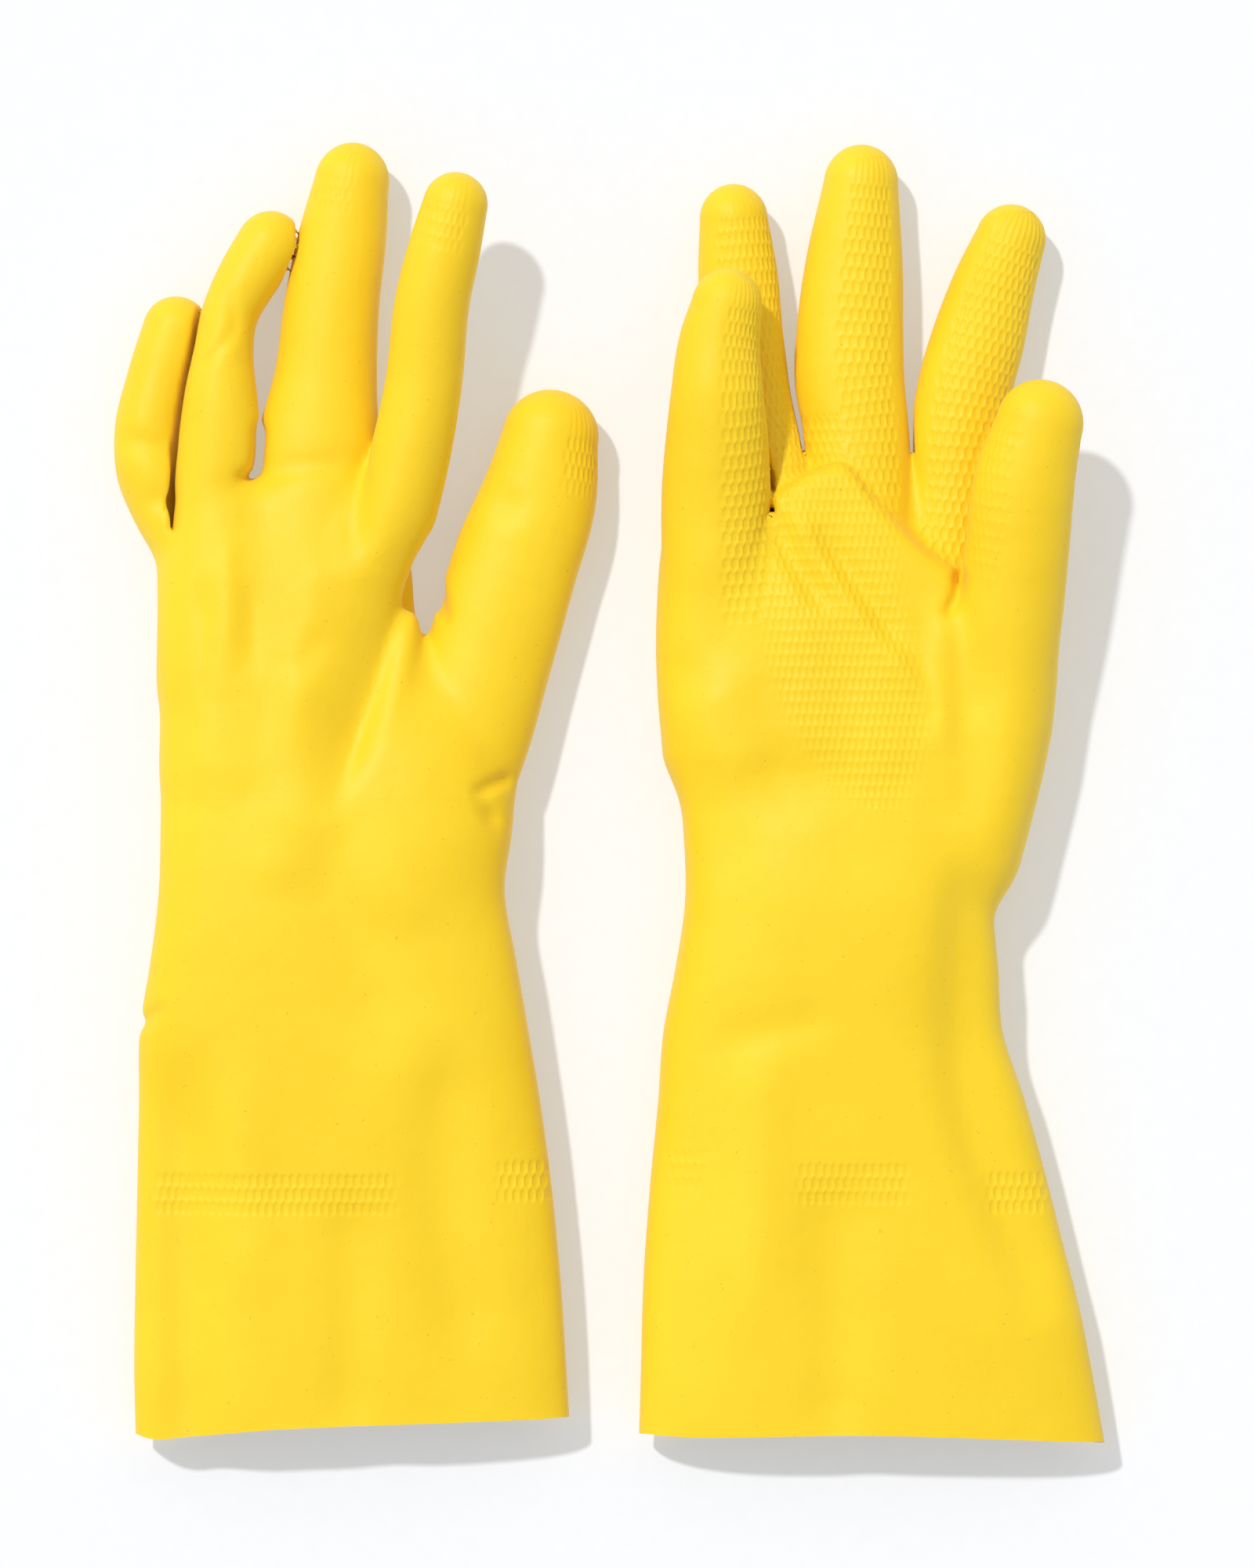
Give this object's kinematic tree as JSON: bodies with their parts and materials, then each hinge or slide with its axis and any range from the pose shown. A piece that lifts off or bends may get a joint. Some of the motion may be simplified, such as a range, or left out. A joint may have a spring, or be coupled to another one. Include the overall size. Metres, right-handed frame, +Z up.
{
  "type": "rubber gloves",
  "caption": "Household rubber gloves with grip-textured palms and flared cuffs, lying flat as a pair and bending at the wrist, finger roots and knuckles.",
  "frame": {"origin": "middle of the pair's outline, on the surface that the gloves lie on", "axes": "+X to the right-hand glove, +Y from the cuffs to the fingertips, +Z up from the surface"},
  "size_m": [0.2367, 0.3102, 0.0391],
  "materials": {
    "latex": "satin",
    "flock": "matte"
  },
  "bodies": {
    "left_cuff": {"left_cuff": "latex", "left_cuff_lining": "flock"},
    "left_hand": {"left_hand": "latex", "left_hand_lining": "flock"},
    "left_thumb_base": {"left_thumb_base": "latex"},
    "left_thumb_tip": {"left_thumb_tip": "latex"},
    "left_index_base": {"left_index_base": "latex"},
    "left_index_tip": {"left_index_tip": "latex"},
    "left_middle_base": {"left_middle_base": "latex"},
    "left_middle_tip": {"left_middle_tip": "latex"},
    "left_ring_base": {"left_ring_base": "latex"},
    "left_ring_tip": {"left_ring_tip": "latex"},
    "left_little_base": {"left_little_base": "latex"},
    "left_little_tip": {"left_little_tip": "latex"},
    "right_cuff": {"right_cuff": "latex", "right_cuff_lining": "flock"},
    "right_hand": {"right_hand": "latex", "right_hand_lining": "flock"},
    "right_thumb_base": {"right_thumb_base": "latex"},
    "right_thumb_tip": {"right_thumb_tip": "latex"},
    "right_index_base": {"right_index_base": "latex"},
    "right_index_tip": {"right_index_tip": "latex"},
    "right_middle_base": {"right_middle_base": "latex"},
    "right_middle_tip": {"right_middle_tip": "latex"},
    "right_ring_base": {"right_ring_base": "latex"},
    "right_ring_tip": {"right_ring_tip": "latex"},
    "right_little_base": {"right_little_base": "latex"},
    "right_little_tip": {"right_little_tip": "latex"}
  },
  "joints": [
    {"name": "right_glove_lift", "type": "slide", "parent": "left_cuff", "child": "right_cuff", "axis": [0, 0, 1], "range_m": [0, 0.08]},
    {"name": "left_wrist_bend", "type": "hinge", "parent": "left_cuff", "child": "left_hand", "pos_m": [-0.0662, -0.024, 0.017], "axis": [1, 0, 0], "range_deg": [0, 30]},
    {"name": "left_thumb_root_bend", "type": "hinge", "parent": "left_hand", "child": "left_thumb_base", "pos_m": [-0.0225, 0.0538, 0.011], "axis": [0.9535, -0.3014, 0], "range_deg": [0, 45]},
    {"name": "left_thumb_knuckle_bend", "type": "hinge", "parent": "left_thumb_base", "child": "left_thumb_tip", "pos_m": [-0.017, 0.0712, 0.0104], "axis": [0.9643, -0.2647, 0], "range_deg": [0, 45]},
    {"name": "left_index_root_bend", "type": "hinge", "parent": "left_hand", "child": "left_index_base", "pos_m": [-0.0441, 0.097, 0.0225], "axis": [0.9908, -0.1353, 0], "range_deg": [-12, 45]},
    {"name": "left_index_knuckle_bend", "type": "hinge", "parent": "left_index_base", "child": "left_index_tip", "pos_m": [-0.0413, 0.1175, 0.026], "axis": [0.9749, -0.2226, 0], "range_deg": [0, 45]},
    {"name": "left_middle_root_bend", "type": "hinge", "parent": "left_hand", "child": "left_middle_base", "pos_m": [-0.0678, 0.097, 0.011], "axis": [0.9953, -0.0971, 0], "range_deg": [0, 45]},
    {"name": "left_middle_knuckle_bend", "type": "hinge", "parent": "left_middle_base", "child": "left_middle_tip", "pos_m": [-0.0658, 0.1175, 0.0108], "axis": [0.9904, -0.1386, 0], "range_deg": [0, 45]},
    {"name": "left_ring_root_bend", "type": "hinge", "parent": "left_hand", "child": "left_ring_base", "pos_m": [-0.0918, 0.096, 0.0146], "axis": [0.9948, -0.1023, 0], "range_deg": [0, 45]},
    {"name": "left_ring_knuckle_bend", "type": "hinge", "parent": "left_ring_base", "child": "left_ring_tip", "pos_m": [-0.09, 0.1135, 0.0134], "axis": [0.912, -0.4101, 0], "range_deg": [0, 45]},
    {"name": "left_little_root_bend", "type": "hinge", "parent": "left_hand", "child": "left_little_base", "pos_m": [-0.1068, 0.0665, 0.0094], "axis": [0.9884, 0.1521, 0], "range_deg": [0, 45]},
    {"name": "left_little_knuckle_bend", "type": "hinge", "parent": "left_little_base", "child": "left_little_tip", "pos_m": [-0.1098, 0.086, 0.0092], "axis": [0.9906, -0.1369, 0], "range_deg": [0, 45]},
    {"name": "right_wrist_bend", "type": "hinge", "parent": "right_cuff", "child": "right_hand", "pos_m": [0.0562, -0.024, 0.017], "axis": [1, 0, 0], "range_deg": [0, 30]},
    {"name": "right_thumb_root_bend", "type": "hinge", "parent": "right_hand", "child": "right_thumb_base", "pos_m": [0.0983, 0.0585, 0.026], "axis": [0.9923, -0.124, 0], "range_deg": [0, 45]},
    {"name": "right_thumb_knuckle_bend", "type": "hinge", "parent": "right_thumb_base", "child": "right_thumb_tip", "pos_m": [0.1003, 0.0745, 0.0294], "axis": [0.9904, -0.1382, 0], "range_deg": [0, 45]},
    {"name": "right_index_root_bend", "type": "hinge", "parent": "right_hand", "child": "right_index_base", "pos_m": [0.0838, 0.0855, 0.0104], "axis": [0.9721, -0.2345, 0], "range_deg": [0, 30]},
    {"name": "right_index_knuckle_bend", "type": "hinge", "parent": "right_index_base", "child": "right_index_tip", "pos_m": [0.0893, 0.1083, 0.01], "axis": [0.9502, -0.3115, 0], "range_deg": [0, 45]},
    {"name": "right_middle_root_bend", "type": "hinge", "parent": "right_hand", "child": "right_middle_base", "pos_m": [0.0595, 0.0875, 0.0108], "axis": [1, 0, 0], "range_deg": [0, 45]},
    {"name": "right_middle_knuckle_bend", "type": "hinge", "parent": "right_middle_base", "child": "right_middle_tip", "pos_m": [0.0595, 0.1095, 0.0104], "axis": [0.9995, -0.0329, 0], "range_deg": [0, 45]},
    {"name": "right_ring_root_bend", "type": "hinge", "parent": "right_hand", "child": "right_ring_base", "pos_m": [0.0375, 0.087, 0.0096], "axis": [0.9863, 0.1651, 0], "range_deg": [0, 45]},
    {"name": "right_ring_knuckle_bend", "type": "hinge", "parent": "right_ring_base", "child": "right_ring_tip", "pos_m": [0.0339, 0.1085, 0.0096], "axis": [0.9932, 0.1168, 0], "range_deg": [0, 45]},
    {"name": "right_little_root_bend", "type": "hinge", "parent": "right_hand", "child": "right_little_base", "pos_m": [0.026, 0.0725, 0.0225], "axis": [0.9999, -0.0146, 0], "range_deg": [0, 45]},
    {"name": "right_little_knuckle_bend", "type": "hinge", "parent": "right_little_base", "child": "right_little_tip", "pos_m": [0.0263, 0.093, 0.0295], "axis": [0.9935, -0.1134, 0], "range_deg": [0, 45]}
  ],
  "couplings": [
    {"joint": "right_ring_root_bend", "follows": "right_little_root_bend", "ratio": 1},
    {"joint": "right_ring_knuckle_bend", "follows": "right_little_knuckle_bend", "ratio": 1}
  ]
}
